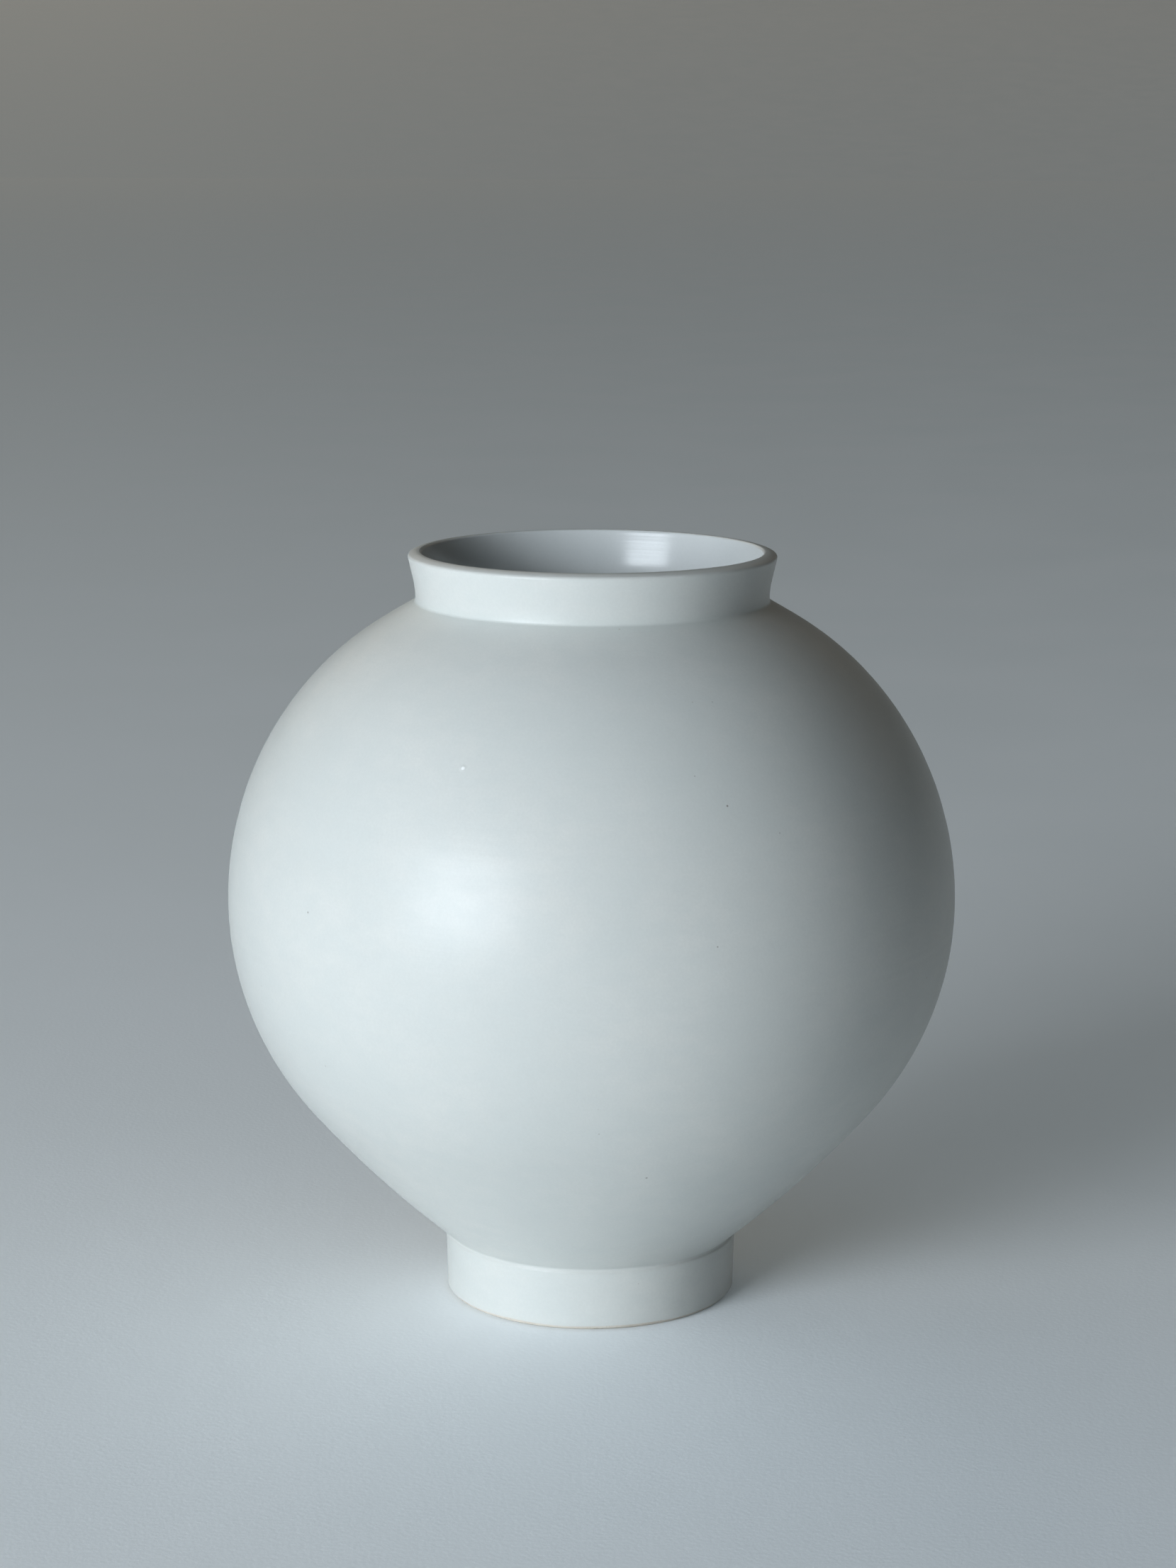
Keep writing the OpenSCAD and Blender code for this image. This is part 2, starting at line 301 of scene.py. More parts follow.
def inside_path(depth, spacing):
    """The jar's inside from the crest of the lip to the middle of the floor."""
    flare, throat_a = math.degrees(NECK_FLARE), math.degrees(jar.throat_a)
    inner = NECK_WALL - depth
    path = arc(jar.lip_in, LIP_INNER - depth, 90, 180 - flare, step=0.18)
    path += arc(jar.neck, NECK_CURVE + inner, 180 - flare, 180, step=1.0)
    path += arc(jar.throat, THROAT - depth, 180, 180 + throat_a, step=0.35)
    shoulder = arc(jar.shoulder, SHOULDER_ARC - WALL + depth, throat_a, 0, step=0.3)
    round_z = jar.foot[1] + (FOOT_CURVE - WALL + depth) * math.sin(jar.floor_a)
    drop = round_z - BELLY_Z
    heights = [BELLY_Z + drop * i / WALL_POINTS for i in range(1, WALL_POINTS + 1)]
    lower = [(jar.body_r(WALL - depth, z), z) for z in heights]
    wall = thinned(shoulder + lower, lambda z: COIL_STEP if abs(z - SEAM_Z) < COIL_H else spacing)
    path += [(min(r, bead_r(z, depth)), z) for r, z in wall[1:]]
    rounding = arc(jar.floor, FLOOR_ROUND + depth, math.degrees(jar.floor_a), -90, step=0.4)
    path += thinned(rounding, lambda z: spacing)[1:]
    floor = [jar.floor[0] * (1 - i / FLOOR_RINGS) for i in range(1, FLOOR_RINGS + 1)]
    return path + [(r, FLOOR_Z - depth) for r in floor]


def bead_r(z, depth):
    """Radius of the coil pressed over the belly joint, or no limit above and below it."""
    radius = jar.coil_arc + GLAZE - depth
    bulge = radius**2 - (z - jar.coil[1]) ** 2
    return jar.coil[0] - math.sqrt(bulge) if bulge > 0 else math.inf


def recess_path(depth):
    """The glaze in the hollow under the foot: its wall, a pooled corner and the ceiling."""
    r = FOOT_R - FOOT_TAPER - FOOT_WALL - depth
    z = RECESS_H - depth
    pool = RECESS_POOL - depth
    path = [(r, BARE), (r, BARE + 0.4), (r, 4), (r, 7), (r, 10)]
    path += arc((r - pool, z - pool), pool, 0, 90, step=0.35)
    return path + [(r * (1 - i / RECESS_RINGS), z) for i in range(2, RECESS_RINGS + 1)]


# Turning a section into a piece
def rise(value, low, high):
    """0 below low, 1 above high, and smooth in between."""
    t = min(1.0, max(0.0, (value - low) / (high - low)))
    return t * t * (3 - 2 * t)


def bell(distance, width):
    """1 at no distance, falling softly to 0 beyond the width."""
    return math.exp(-((distance / width) ** 2))


def section_mesh(name, front, back, freedom, thin, pool):
    """The closed section as a ring of edges, with what the turning tree reads from each point.

    front is the side that is seen, and back the side that lies on the clay. side is the way a
    point may move, out of the glaze; freedom, thin and pool are functions of a point of the front.
    """
    points = front + back
    mesh = bpy.data.meshes.new(name)
    mesh.from_pydata([(r * MM, 0, z * MM) for r, z in points], [], [])
    sides = []
    for i in range(len(front)):
        before, after = front[max(0, i - 1)], front[min(len(front) - 1, i + 1)]
        dr, dz = after[0] - before[0], after[1] - before[1]
        length = math.hypot(dr, dz)
        sides.append((dz / length, 0, -dr / length))
    fill = [0.0] * len(back)
    values = {
        "freedom": [freedom(p) for p in front] + fill,
        "thin": [thin(p) for p in front] + fill,
        "pool": [pool(p) for p in front] + fill,
        "lower_edge": [1.0 if z == BARE else 0.0 for r, z in points],
    }
    for key, numbers in values.items():
        mesh.attributes.new(key, "FLOAT", "POINT").data.foreach_set("value", numbers)
    flat = [c for side in sides + [(0, 0, 0)] * len(back) for c in side]
    mesh.attributes.new("side", "FLOAT_VECTOR", "POINT").data.foreach_set("vector", flat)
    return mesh


class Tree:
    """A short way to write a node tree: add a node, and wire or set its inputs in one call."""

    def __init__(self, tree):
        self.tree = tree

    def add(self, kind, *inputs, out=0, **settings):
        node = self.tree.nodes.new(kind)
        for key, value in settings.items():
            setattr(node, key, value)
        for place, value in enumerate(inputs):
            self.put(node.inputs[place], value)
        return node.outputs[out]

    def put(self, socket, value):
        if isinstance(value, bpy.types.NodeSocket):
            self.tree.links.new(value, socket)
        elif value is not None:
            socket.default_value = value

    def named(self, kind, values, out=0, **settings):
        """A node whose inputs are given by name."""
        node = self.tree.nodes.new(kind)
        for key, value in settings.items():
            setattr(node, key, value)
        for key, value in values.items():
            self.put(next(s for s in node.inputs if s.name == key and s.enabled), value)
        return node.outputs[out]

    def sum(self, a, b):
        return self.add("ShaderNodeMath", a, b, operation="ADD")

    def less(self, a, b):
        return self.add("ShaderNodeMath", a, b, operation="SUBTRACT")

    def times(self, a, b):
        return self.add("ShaderNodeMath", a, b, operation="MULTIPLY")

    def over(self, a, b):
        return self.add("ShaderNodeMath", a, b, operation="DIVIDE")

    def one(self, operation, a, b=None):
        """Any other sum, of one value or two."""
        return self.add("ShaderNodeMath", a, b, operation=operation)


# Points closer than this are one, a shorter edge is no edge, and a sharper edge isn't smoothed
MERGE = 4e-6
SHORTEST = 1e-7
SHARP = math.radians(40)

TURNING_INPUTS = (
    ("Facets", "NodeSocketInt", 256),
    ("Ring spacing", "NodeSocketFloat", 0.005),
    ("Ring depth", "NodeSocketFloat", 0.00005),
    ("Sway spacing", "NodeSocketFloat", 0.15),
    ("Sway depth", "NodeSocketFloat", 0.0002),
    ("Groove height", "NodeSocketFloat", 0.1215),
    ("Groove width", "NodeSocketFloat", 0.001),
    ("Groove depth", "NodeSocketFloat", 0.0),
    ("Ridge height", "NodeSocketFloat", 0.157),
    ("Ridge width", "NodeSocketFloat", 0.004),
    ("Ridge depth", "NodeSocketFloat", 0.0),
    ("Edge wave", "NodeSocketFloat", 0.0),
    ("Seed", "NodeSocketFloat", 1.0),
    ("Finish", "NodeSocketMaterial", None),
)


def turning_tree():
    """Turns a section round the jar's axis, with the marks that a wheel and a hand leave."""
    group = bpy.data.node_groups.new("turned_section", "GeometryNodeTree")
    face = group.interface
    face.new_socket("Section", in_out="INPUT", socket_type="NodeSocketGeometry")
    for name, kind, value in TURNING_INPUTS:
        socket = face.new_socket(name, in_out="INPUT", socket_type=kind)
        if value is not None:
            socket.default_value = value
    face.new_socket("Turned", in_out="OUTPUT", socket_type="NodeSocketGeometry")
    t = Tree(group)
    start = group.nodes.new("NodeGroupInput")
    given = {s.name: s for s in start.outputs}

    # A grid with one row for each point of the section, and one column for each facet
    count = t.add("GeometryNodeAttributeDomainSize", given["Section"], component="MESH")
    columns = t.sum(given["Facets"], 1.0)
    rows = t.sum(count, 1.0)
    grid = t.named("GeometryNodeMeshGrid", {"Vertices X": rows, "Vertices Y": columns}, out="Mesh")
    index = t.add("GeometryNodeInputIndex")
    row = t.one("FLOOR", t.over(t.sum(index, 0.5), columns))
    column = t.less(index, t.times(row, columns))
    place = t.one("FLOORED_MODULO", row, count)
    turn = t.times(t.over(column, given["Facets"]), 2 * math.pi)
    cosine, sine = t.one("COSINE", turn), t.one("SINE", turn)

    def read(name, kind):
        value = t.named("GeometryNodeInputNamedAttribute", {"Name": name}, data_type=kind)
        return t.named(
            "GeometryNodeSampleIndex",
            {"Geometry": given["Section"], "Value": value, "Index": place},
            data_type=kind,
            domain="POINT",
        )

    position = t.add("GeometryNodeInputPosition")
    point = t.named(
        "GeometryNodeSampleIndex",
        {"Geometry": given["Section"], "Value": position, "Index": place},
        data_type="FLOAT_VECTOR",
        domain="POINT",
    )
    parts = group.nodes.new("ShaderNodeSeparateXYZ")
    group.links.new(point, parts.inputs[0])
    radius, height = parts.outputs[0], parts.outputs[2]

    def round_place(across, along):
        """A place for noise that goes round the jar without a seam."""
        return t.add(
            "ShaderNodeCombineXYZ",
            t.over(t.times(cosine, radius), across),
            t.over(t.times(sine, radius), across),
            t.over(height, along),
        )

    def noise(vector, detail):
        value = t.named(
            "ShaderNodeTexNoise",
            {"Vector": vector, "W": given["Seed"], "Scale": 1.0, "Detail": detail},
            noise_dimensions="4D",
        )
        return t.less(value, 0.5)

    def dip(middle, width, depth):
        """How far a soft groove round the jar goes in at this height."""
        off = t.over(t.less(height, middle), width)
        return t.times(t.one("EXPONENT", t.times(t.times(off, off), -1.0)), depth)

    rings = t.times(noise(round_place(0.25, given["Ring spacing"]), 2.0), given["Ring depth"])
    slow = round_place(given["Sway spacing"], given["Sway spacing"])
    sway = t.times(noise(slow, 0.0), given["Sway depth"])
    groove = dip(given["Groove height"], given["Groove width"], given["Groove depth"])
    ridge = dip(given["Ridge height"], given["Ridge width"], given["Ridge depth"])
    inward = t.sum(t.sum(t.one("ABSOLUTE", sway), t.one("ABSOLUTE", rings)), t.sum(groove, ridge))
    move = t.times(t.times(inward, -1.0), read("freedom", "FLOAT"))
    side = t.add("ShaderNodeVectorMath", read("side", "FLOAT_VECTOR"), operation="SCALE")
    t.put(side.node.inputs["Scale"], move)
    moved = t.add("ShaderNodeVectorMath", point, side, operation="ADD")
    ends = group.nodes.new("ShaderNodeSeparateXYZ")
    group.links.new(moved, ends.inputs[0])
    wave = t.times(noise(round_place(0.012, 1.0), 1.0), given["Edge wave"])
    wave = t.times(wave, read("lower_edge", "FLOAT"))
    final = t.add(
        "ShaderNodeCombineXYZ",
        t.times(cosine, ends.outputs[0]),
        t.times(sine, ends.outputs[0]),
        t.sum(ends.outputs[2], wave),
    )

    shaped = t.named("GeometryNodeSetPosition", {"Geometry": grid, "Position": final})
    for name in ("thin", "pool"):
        shaped = t.named(
            "GeometryNodeStoreNamedAttribute",
            {"Geometry": shaped, "Name": name, "Value": read(name, "FLOAT")},
            data_type="FLOAT",
            domain="POINT",
        )
    closed = t.named("GeometryNodeMergeByDistance", {"Geometry": shaped, "Distance": MERGE})
    smooth = t.named("GeometryNodeSetShadeSmooth", {"Geometry": closed, "Shade Smooth": True})
    real = t.add("GeometryNodeRealizeInstances", smooth)
    dressed = t.named("GeometryNodeSetMaterial", {"Geometry": real, "Material": given["Finish"]})
    end = group.nodes.new("NodeGroupOutput")
    group.links.new(dressed, end.inputs[0])
    return group


turning = turning_tree()


def turned_piece(name, section, **inputs):
    """The section turned by the tree, as a plain closed mesh whose faces point outwards."""
    maker = bpy.data.objects.new(name + ".section", section)
    bpy.context.scene.collection.objects.link(maker)
    modifier = maker.modifiers.new("turning", "NODES")
    modifier.node_group = turning
    sockets = {
        s.name: s.identifier
        for s in turning.interface.items_tree
        if s.item_type == "SOCKET" and s.in_out == "INPUT"
    }
    for key, value in inputs.items():
        modifier[sockets[key.replace("_", " ").capitalize()]] = value
    evaluated = maker.evaluated_get(bpy.context.evaluated_depsgraph_get())
    mesh = bpy.data.meshes.new_from_object(evaluated)
    mesh.name = name
    bpy.data.objects.remove(maker)
    shell = bmesh.new()
    shell.from_mesh(mesh)
    bmesh.ops.dissolve_degenerate(shell, dist=SHORTEST, edges=shell.edges)
    bmesh.ops.recalc_face_normals(shell, faces=shell.faces)
    for edge in shell.edges:
        if len(edge.link_faces) == 2 and edge.calc_face_angle(0) > SHARP:
            edge.smooth = False
    shell.to_mesh(mesh)
    shell.free()
    piece = bpy.data.objects.new(name, mesh)
    bpy.context.scene.collection.objects.link(piece)
    return piece


# Finishes
class Finish(Tree):
    """A material with one Principled shader and a chain of bumps."""

    def __init__(self, name, **plain):
        material = bpy.data.materials.new(name)
        material.use_nodes = True
        super().__init__(material.node_tree)
        self.material = material
        self.shader = next(n for n in self.tree.nodes if n.type == "BSDF_PRINCIPLED")
        for key, value in plain.items():
            self.shader.inputs[key.replace("_", " ")].default_value = value
        self.place = self.add("ShaderNodeTexCoord", out=3)
        self.normal = None

    def stretched(self, x, y, z):
        """The piece's own place, measured in these lengths in mm."""
        size = (1 / (x * MM), 1 / (y * MM), 1 / (z * MM))
        return self.named(
            "ShaderNodeMapping", {"Vector": self.place, "Scale": size}, vector_type="POINT"
        )

    def noise(self, size, detail=2.0, rough=0.5):
        """Noise with features of that size in mm, or of three sizes along the axes."""
        x, y, z = size if isinstance(size, tuple) else (size, size, size)
        place = self.stretched(x, y, z)
        return self.named(
            "ShaderNodeTexNoise",
            {"Vector": place, "Scale": 1.0, "Detail": detail, "Roughness": rough},
        )

    def between(self, value, low, high, to_low=0.0, to_high=1.0):
        """The value's range from low to high, spread over another and cut off at its ends."""
        return self.add(
            "ShaderNodeMapRange",
            value,
            low,
            high,
            to_low,
            to_high,
            interpolation_type="SMOOTHSTEP",
        )

    def spread(self, value, low, high):
        """Noise, most of which lies between 0.3 and 0.7, spread from low to high."""
        return self.between(value, 0.3, 0.7, low, high)

    def mix(self, share, a, b):
        return self.named(
            "ShaderNodeMix", {"Factor": share, "A": a, "B": b}, data_type="RGBA", out=2
        )

    def bump(self, height, depth):
        """Adds a relief of that depth in mm."""
        values = {"Height": height, "Distance": depth * MM, "Strength": 1.0}
        if self.normal is not None:
            values["Normal"] = self.normal
        self.normal = self.named("ShaderNodeBump", values)

    def attribute(self, name):
        return self.add("ShaderNodeAttribute", out=2, attribute_name=name)

    def near(self, radius, turn, height, size, soft=0.5):
        """1 within a spot of that size at a place on the jar, and 0 beyond its soft edge."""
        a = math.radians(turn)
        spot = (radius * math.cos(a) * MM, radius * math.sin(a) * MM, height * MM)
        away = self.add("ShaderNodeVectorMath", self.place, spot, operation="DISTANCE", out=1)
        return self.between(away, size * MM, size * soft * MM)

    def finish(self, colour, roughness):
        self.put(self.shader.inputs["Base Color"], colour)
        self.put(self.shader.inputs["Roughness"], roughness)
        if self.normal is not None:
            self.put(self.shader.inputs["Normal"], self.normal)
        return self.material


# Iron specks and pinholes: radius, turn in degrees, height, size and darkness
SPECKS = (
    (103.2, -67.8, 177.1, 0.42, 0.75),
    (114.6, -71.6, 138.5, 0.36, 0.6),
    (114.3, -137.2, 141.0, 0.4, 0.6),
    (89.9, -79.4, 62.9, 0.45, 0.7),
    (107.2, -59.5, 168.5, 0.3, 0.4),
    (98.4, -72.5, 185.5, 0.3, 0.4),
    (83.1, -65.0, 204.1, 0.3, 0.35),
    (102.4, -88.7, 80.7, 0.3, 0.4),
)

# The one raised spot of glaze, whose pale core is a painted highlight: radius, turn in degrees and
# height
PIMPLE = (97.6, -112.6, 187.0)


def satin_glaze():
    """Satin white over the whole outside: soft mottling, fine grain, faint turning lines."""
    cool, warm = (0.605, 0.62, 0.592, 1), (0.64, 0.645, 0.612, 1)
    mottled, grainy = (0.59, 0.612, 0.588, 1), (0.545, 0.555, 0.53, 1)
    pooled, thinly = (0.54, 0.585, 0.555, 1), (0.57, 0.57, 0.54, 1)
    iron, dark_iron, painted_glint = (0.30, 0.26, 0.20, 1), (0.16, 0.14, 0.11, 1), (0.86, 0.87, 0.85, 1)
    f = Finish("satin_white_glaze", IOR=1.5, Specular_IOR_Level=0.24)
    cloud = f.noise(38, 3)
    mottle = f.noise((9, 9, 5), 3)
    grain = f.noise(0.75, 2, 0.6)
    colour = f.mix(f.spread(cloud, 0, 1), cool, warm)
    colour = f.mix(f.spread(mottle, 0, 0.5), colour, mottled)
    colour = f.mix(f.spread(grain, 0, 0.22), colour, grainy)
    colour = f.mix(f.times(f.attribute("pool"), 0.5), colour, pooled)
    # Warmer where the glaze runs thin, and a little darker there too: painted shade for the lip's
    # top face
    colour = f.mix(f.times(f.attribute("thin"), 0.6), colour, thinly)

    # Rare small specks of iron all over, and the few that stand out
    cells = f.named(
        "ShaderNodeTexVoronoi",
        {"Vector": f.stretched(13, 13, 13), "Scale": 1.0, "Randomness": 1.0},
        out="Distance",
    )
    dust = f.between(cells, 0.034, 0.012)
    rare = f.between(f.noise(31, 0), 0.5, 0.62)
    colour = f.mix(f.times(f.times(dust, rare), 0.45), colour, iron)
    for radius, turn, height, size, dark in SPECKS:
        spot = f.times(f.near(radius, turn, height, size), dark)
        colour = f.mix(spot, colour, dark_iron)
    # A pale core on the raised spot: a painted highlight, over the real bump below
    colour = f.mix(f.near(*PIMPLE, 0.8, 0.4), colour, painted_glint)

    f.bump(f.noise((160, 160, 1.7), 3, 0.6), 0.030)
    f.bump(f.noise((60, 60, 6), 2), 0.05)
    f.bump(grain, 0.014)
    f.bump(f.noise(2.4, 2), 0.018)
    f.bump(f.near(*PIMPLE, 1.5, 0.1), 0.14)
    roughness = f.sum(f.spread(mottle, 0.32, 0.345), f.spread(grain, -0.008, 0.015))
    return f.finish(colour, roughness)


def liner_glaze():
    """The glossier coat inside, over the throwing rings that the fingers left."""
    cool, pale = (0.65, 0.68, 0.675, 1), (0.69, 0.715, 0.71, 1)
    grainy, pooled, thinly = (0.58, 0.60, 0.59, 1), (0.56, 0.62, 0.60, 1), (0.70, 0.68, 0.62, 1)
    f = Finish("glossy_liner_glaze", IOR=1.5, Specular_IOR_Level=0.36)
    cloud = f.noise(30, 3)
    grain = f.noise(0.8, 2)
    colour = f.mix(f.spread(cloud, 0, 1), cool, pale)
    colour = f.mix(f.spread(grain, 0, 0.12), colour, grainy)
    colour = f.mix(f.times(f.attribute("pool"), 0.5), colour, pooled)
    colour = f.mix(f.times(f.attribute("thin"), 0.6), colour, thinly)
    f.bump(f.noise((120, 120, 1.6), 3, 0.6), 0.05)
    f.bump(f.noise(2.2, 2), 0.02)
    return f.finish(colour, f.spread(cloud, 0.16, 0.22))


def recess_glaze():
    """The thinner glaze under the foot, over the marks of the trimming tool."""
    cool, warm = (0.71, 0.715, 0.67, 1), (0.75, 0.745, 0.70, 1)
    ringed, pooled = (0.62, 0.60, 0.53, 1), (0.62, 0.67, 0.62, 1)
    f = Finish("recess_glaze", IOR=1.5)
    cloud = f.noise(16, 3)
    rings = turned_marks(f, 2.6)
    colour = f.mix(f.spread(cloud, 0, 1), cool, warm)
    colour = f.mix(f.times(rings, 0.12), colour, ringed)
    colour = f.mix(f.times(f.attribute("pool"), 0.5), colour, pooled)
    f.bump(rings, 0.10)
    f.bump(f.noise(1.1, 2), 0.03)
    return f.finish(colour, f.spread(cloud, 0.28, 0.38))


def turned_marks(f, pitch):
    """Rings round the jar's axis on a level face, a little uneven in spacing."""
    parts = f.tree.nodes.new("ShaderNodeSeparateXYZ")
    f.tree.links.new(f.place, parts.inputs[0])
    x, y = parts.outputs[0], parts.outputs[1]
    out = f.one("SQRT", f.sum(f.times(x, x), f.times(y, y)))
    uneven = f.times(f.noise(22, 2), 0.004)
    wave = f.one("SINE", f.times(f.sum(out, uneven), 2 * math.pi / (pitch * MM)))
    return f.sum(f.times(wave, 0.5), 0.5)


def clay(name, dark, light, ring, grog):
    """Fired clay: grog and turning lines of these sizes in mm, and a little iron dust."""
    iron, chalk = (0.47, 0.40, 0.31, 1), (0.86, 0.84, 0.79, 1)
    f = Finish(name, IOR=1.5, Specular_IOR_Level=0.35)
    cloud = f.noise(18, 3)
    sand = f.noise(grog, 2, 0.65)
    colour = f.mix(f.spread(cloud, 0, 1), dark, light)
    colour = f.mix(f.between(sand, 0.56, 0.72, 0, 0.5), colour, iron)
    colour = f.mix(f.between(sand, 0.44, 0.30, 0, 0.4), colour, chalk)
    f.bump(f.noise((90, 90, ring), 2, 0.6), 0.08)
    f.bump(sand, 0.06)
    return f.finish(colour, f.spread(sand, 0.78, 0.92))


def bare_foot_clay():
    """The bare rim the jar stands on: clay rubbed smooth, with the wheel's fine rings."""
    dark, light = (0.56, 0.51, 0.44, 1), (0.61, 0.57, 0.50, 1)
    iron, ringed = (0.38, 0.31, 0.24, 1), (0.48, 0.42, 0.34, 1)
    f = Finish("bare_foot_clay", IOR=1.5, Specular_IOR_Level=0.35)
    cloud = f.noise(12, 3)
    sand = f.noise(0.45, 2, 0.7)
    colour = f.mix(f.spread(cloud, 0, 1), dark, light)
    colour = f.mix(f.between(sand, 0.58, 0.72, 0, 0.55), colour, iron)
    colour = f.mix(f.times(turned_marks(f, 1.1), 0.10), colour, ringed)
    f.bump(turned_marks(f, 0.9), 0.025)
    f.bump(sand, 0.05)
    return f.finish(colour, f.spread(cloud, 0.72, 0.86))


def slip():
    """The thin joining layer between two pieces: smeared, slightly darker clay."""
    dark, light = (0.60, 0.54, 0.44, 1), (0.68, 0.62, 0.52, 1)
    f = Finish("joining_slip", IOR=1.5, Specular_IOR_Level=0.3)
    smear = f.noise((14, 14, 1.2), 4, 0.65)
    colour = f.mix(f.spread(smear, 0, 1), dark, light)
    f.bump(smear, 0.10)
    return f.finish(colour, f.spread(smear, 0.8, 0.95))


# The three glazes
EDGE_MIDDLE = 0.26


def lip_edges(point):
    """1 along the lip's rounded edges, where the glaze runs thin."""
    outer = bell(math.dist(point, jar.lip_out) - LIP_OUTER, 0.5)
    outer *= rise(point[1], jar.lip_out[1] - 0.3, jar.lip_out[1] + 0.7)
    return max(outer, 0.6 * bell(math.dist(point, (jar.lip_in[0], jar.top)), 0.9))


def thin_glaze_and_shade(point):
    """The outer glaze is thin at the lip, at the foot's upper edge and at its own lower edge:
    warmer there, and a little darker as painted shade meant for the lip's top.
    """
    edge = (FOOT_R - EDGE_MIDDLE, FOOT_H - EDGE_MIDDLE)
    foot_edge = 0.7 * bell(math.dist(point, edge), 1.0)
    lower_edge = 0.5 * bell(point[1] - BARE, 0.5)
    return max(lip_edges(point), foot_edge, lower_edge)


def outer_pool(point):
    """It pools in the corner above the foot and in the crease below the neck."""
    ledge = (FOOT_R - FOOT_LEDGE, FOOT_H + 0.6)
    fold = (NECK_R + 0.6, jar.crease[1] - 1.4)
    return max(0.25 * bell(math.dist(point, ledge), 3.0), 0.5 * bell(math.dist(point, fold), 2.0))


def outer_freedom(point):
    """Its surface wavers on the body, less on foot and neck, and not at all along the edges."""
    r, z = point
    if r < FOOT_R + 0.5 and z < FOOT_H + 0.2:
        return 0.35 * rise(z, BARE, 4) * (1 - rise(z, 15, 17.5))
    neck = 1 - 0.75 * rise(z, 215, jar.root_z)
    return rise(z, FOOT_H + 1, FOOT_H + 8) * neck * (1 - rise(z, jar.top - 4, jar.top - 1.5))


outer_coat = turned_piece(
    "outer_coat",
    section_mesh(
        "outer_section",
        outside_path(),
        list(reversed(clay_path())),
        outer_freedom,
        thin_glaze_and_shade,
        outer_pool,
    ),
    facets=288,
    ring_spacing=0.0042,
    ring_depth=0.00012,
    sway_spacing=0.16,
    sway_depth=0.0006,
    groove_height=0.1214,
    groove_width=0.0009,
    groove_depth=0.00007,
    ridge_height=RIDGE_Z * MM,
    ridge_width=0.0035,
    ridge_depth=0.00006,
    edge_wave=0.0007,
    seed=3.7,
    finish=satin_glaze(),
)


def liner_freedom(point):
    """The liner wavers on the wall, and not at the lip or in the middle of the floor."""
    r, z = point
    return rise(r, 4, 14) * (1 - rise(z, jar.top - 3, jar.top - 1)) * (1 - 0.5 * rise(z, 215, 219))


def liner_pool(point):
    """It pools on the floor of the jar."""
    return 0.8 * bell(math.dist(point, (20, FLOOR_Z)), 16)


liner_coat = turned_piece(
    "liner_coat",
    section_mesh(
        "liner_section",
        inside_path(0, INSIDE_STEP),
        list(reversed(inside_path(GLAZE, BACK_STEP))),
        liner_freedom,
        lip_edges,
        liner_pool,
    ),
    facets=256,
    ring_spacing=0.0065,
    ring_depth=0.0007,
    sway_spacing=0.12,
    sway_depth=0.0003,
    seed=8.1,
    finish=liner_glaze(),
)

recess_coat = turned_piece(
    "recess_coat",
    section_mesh(
        "recess_section",
        recess_path(GLAZE),
        list(reversed(recess_path(0))),
        lambda point: 0.5 * rise(point[0], 2, 8),
        lambda point: 0.0,
        lambda point: bell(math.dist(point, (FOOT_R - FOOT_TAPER - FOOT_WALL, RECESS_H)), 3.5),
    ),
    facets=192,
    ring_spacing=0.003,
    ring_depth=0.0002,
    sway_depth=0.0002,
    edge_wave=0.0009,
    seed=5.2,
    finish=recess_glaze(),
)

for piece, node in (
    (outer_coat, "outer_glaze"),
    (liner_coat, "inner_glaze"),
    (recess_coat, "recess_glaze"),
):
    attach(piece, "root")
    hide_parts(node)

# The clay pieces under them
GROG = 0.5
thrown_clay = clay("thrown_clay", (0.70, 0.64, 0.53, 1), (0.75, 0.70, 0.60, 1), 2.2, GROG)
coil_clay = clay("pressed_coil_clay", (0.64, 0.58, 0.47, 1), (0.70, 0.64, 0.54, 1), 7.0, GROG)
joining_slip = slip()
for node, material in {
    "foot_ring": bare_foot_clay(),
    "lower_bowl": thrown_clay,
    "upper_bowl": thrown_clay,
    "neck_collar": thrown_clay,
    "belly_coil": coil_clay,
    "foot_slip": joining_slip,
    "belly_slip": joining_slip,
    "neck_slip": joining_slip,
}.items():
    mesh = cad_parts[node].data
    mesh.materials.clear()
    mesh.materials.append(material)


# The floor in metres: level out to a square's edge, then rising gently to its far edge, and a
# hair below the jar's foot
FLOOR_LEVEL = 16
FLOOR_REACH = 40
FLOOR_RISE = 3
FLOOR_BELOW = 0.00005


def floor_finish():
    """A pale floor with a weak glow of its own, which lights the jar from below."""
    dull, pale = (0.93, 0.955, 0.965, 1), (0.95, 0.97, 0.98, 1)
    f = Finish(
        "pale_floor",
        IOR=1.45,
        Specular_IOR_Level=0.3,
        Emission_Color=(0.65, 0.85, 1.0, 1),
        Emission_Strength=0.065,
    )
    cloud = f.noise(140, 3)
    colour = f.mix(f.spread(cloud, 0, 1), dull, pale)
    f.bump(f.noise(1.6, 3), 0.06)
    return f.finish(colour, f.spread(cloud, 0.6, 0.7))


floor_mesh = bpy.data.meshes.new("floor")
corners = ((-1, -1), (1, -1), (1, 1), (-1, 1))
edges = ((FLOOR_LEVEL, 0), (FLOOR_REACH, FLOOR_RISE))
floor_mesh.from_pydata(
    [(reach * x, reach * y, z) for reach, z in edges for x, y in corners],
    [],
    [(0, 1, 2, 3)] + [(i, (i + 1) % 4, (i + 1) % 4 + 4, i + 4) for i in range(4)],
)
floor_mesh.materials.append(floor_finish())
floor = bpy.data.objects.new("floor", floor_mesh)
floor.location.z = -FLOOR_BELOW
bpy.context.scene.collection.objects.link(floor)


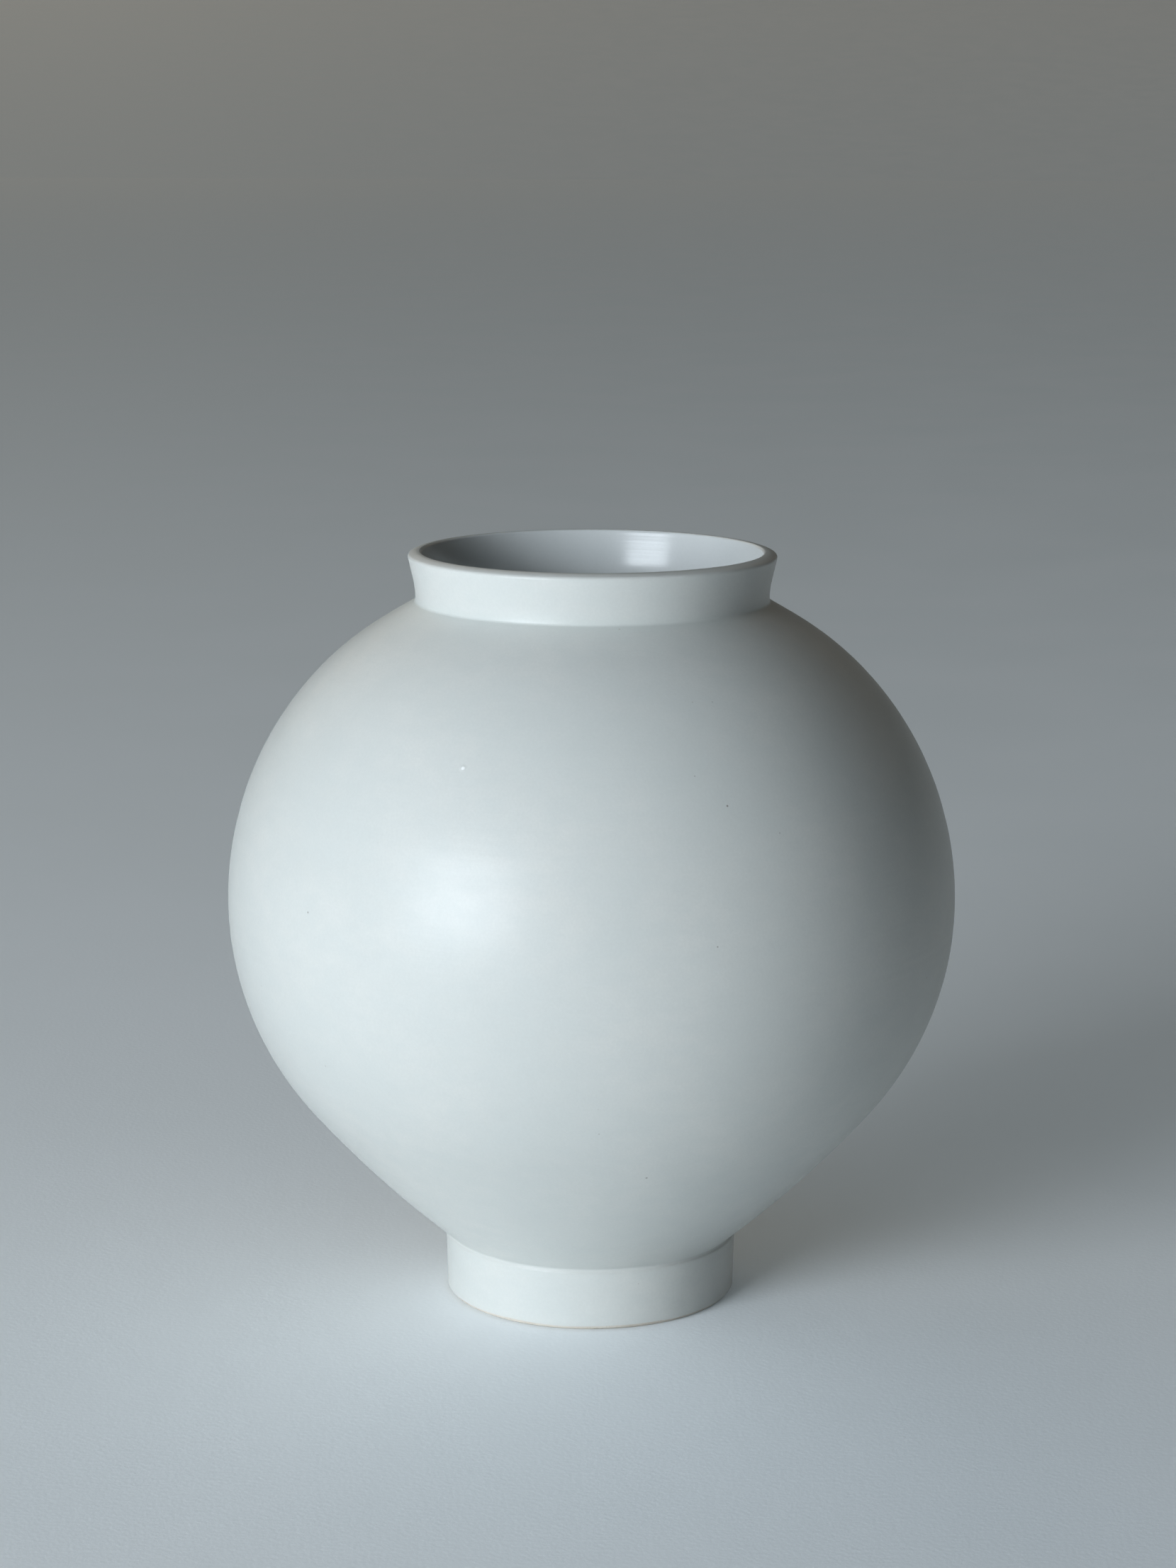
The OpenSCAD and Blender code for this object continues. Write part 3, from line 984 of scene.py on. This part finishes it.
# Soft lights: name, azimuth, elevation, distance, width, height, power and colour, in degrees,
# metres and watts
LIGHTS = (
    ("key_light", 40.0, 9.0, 3.0, 1.6, 1.5, 109, (0.85, 0.925, 1.0)),
    ("left_light", 85, 38, 6.0, 4.8, 2.2, 18, (0.86, 0.93, 1.0)),
    ("top_light", 0, 80, 38.0, 44.0, 44.0, 1420, (0.62, 0.84, 1.0)),
    ("back_light", 150, 30, 38.0, 35.0, 28.0, 1350, (1.0, 0.84, 0.62)),
    ("right_back_light", -140, 30, 38.0, 35.0, 28.0, 500, (1.0, 0.72, 0.45)),
)
JAR_MIDDLE = (0, 0, 0.12)


def softbox(name, azimuth, elevation, distance, width, height, power, colour):
    """A soft light that faces the jar; azimuth goes from the front to the photo's left."""
    a, e = math.radians(azimuth), math.radians(elevation)
    way = (-math.sin(a) * math.cos(e), -math.cos(a) * math.cos(e), math.sin(e))
    data = bpy.data.lights.new(name, "AREA")
    data.shape = "RECTANGLE"
    data.size, data.size_y = width, height
    data.energy = power
    data.color = colour
    lamp = bpy.data.objects.new(name, data)
    bpy.context.scene.collection.objects.link(lamp)
    lamp.location = [m + w * distance for m, w in zip(JAR_MIDDLE, way)]
    lamp.rotation_euler = (math.pi / 2 - e, 0, -a)


for light in LIGHTS:
    softbox(*light)

world = bpy.data.worlds.new("studio")
world.use_nodes = True
air = world.node_tree.nodes["Background"]
air.inputs["Color"].default_value = (0.62, 0.585, 0.50, 1)
air.inputs["Strength"].default_value = 0.03
bpy.context.scene.world = world
bpy.context.scene.view_settings.view_transform = "Standard"

# The photo's camera: a long lens, 1.08 m in front and 0.38 m up, looking down 11 degrees
CAMERA_PLACE = (-0.00121, -1.0814, 0.3768)
CAMERA_DOWN = math.radians(11.097)
CAMERA_ROLL = math.radians(0.175)
SENSOR = 36
PHOTO_HEIGHT = 2212
PHOTO_FOCAL = 4920
lens = bpy.data.cameras.new("camera")
lens.sensor_fit = "AUTO"
lens.sensor_width = SENSOR
lens.lens = SENSOR * PHOTO_FOCAL / PHOTO_HEIGHT
lens.clip_start, lens.clip_end = 0.05, 50
camera = bpy.data.objects.new("camera", lens)
camera.matrix_world = (
    Matrix.Translation(CAMERA_PLACE)
    @ Matrix.Rotation(math.pi / 2 - CAMERA_DOWN, 4, "X")
    @ Matrix.Rotation(CAMERA_ROLL, 4, "Z")
)
bpy.context.scene.collection.objects.link(camera)
bpy.context.scene.camera = camera
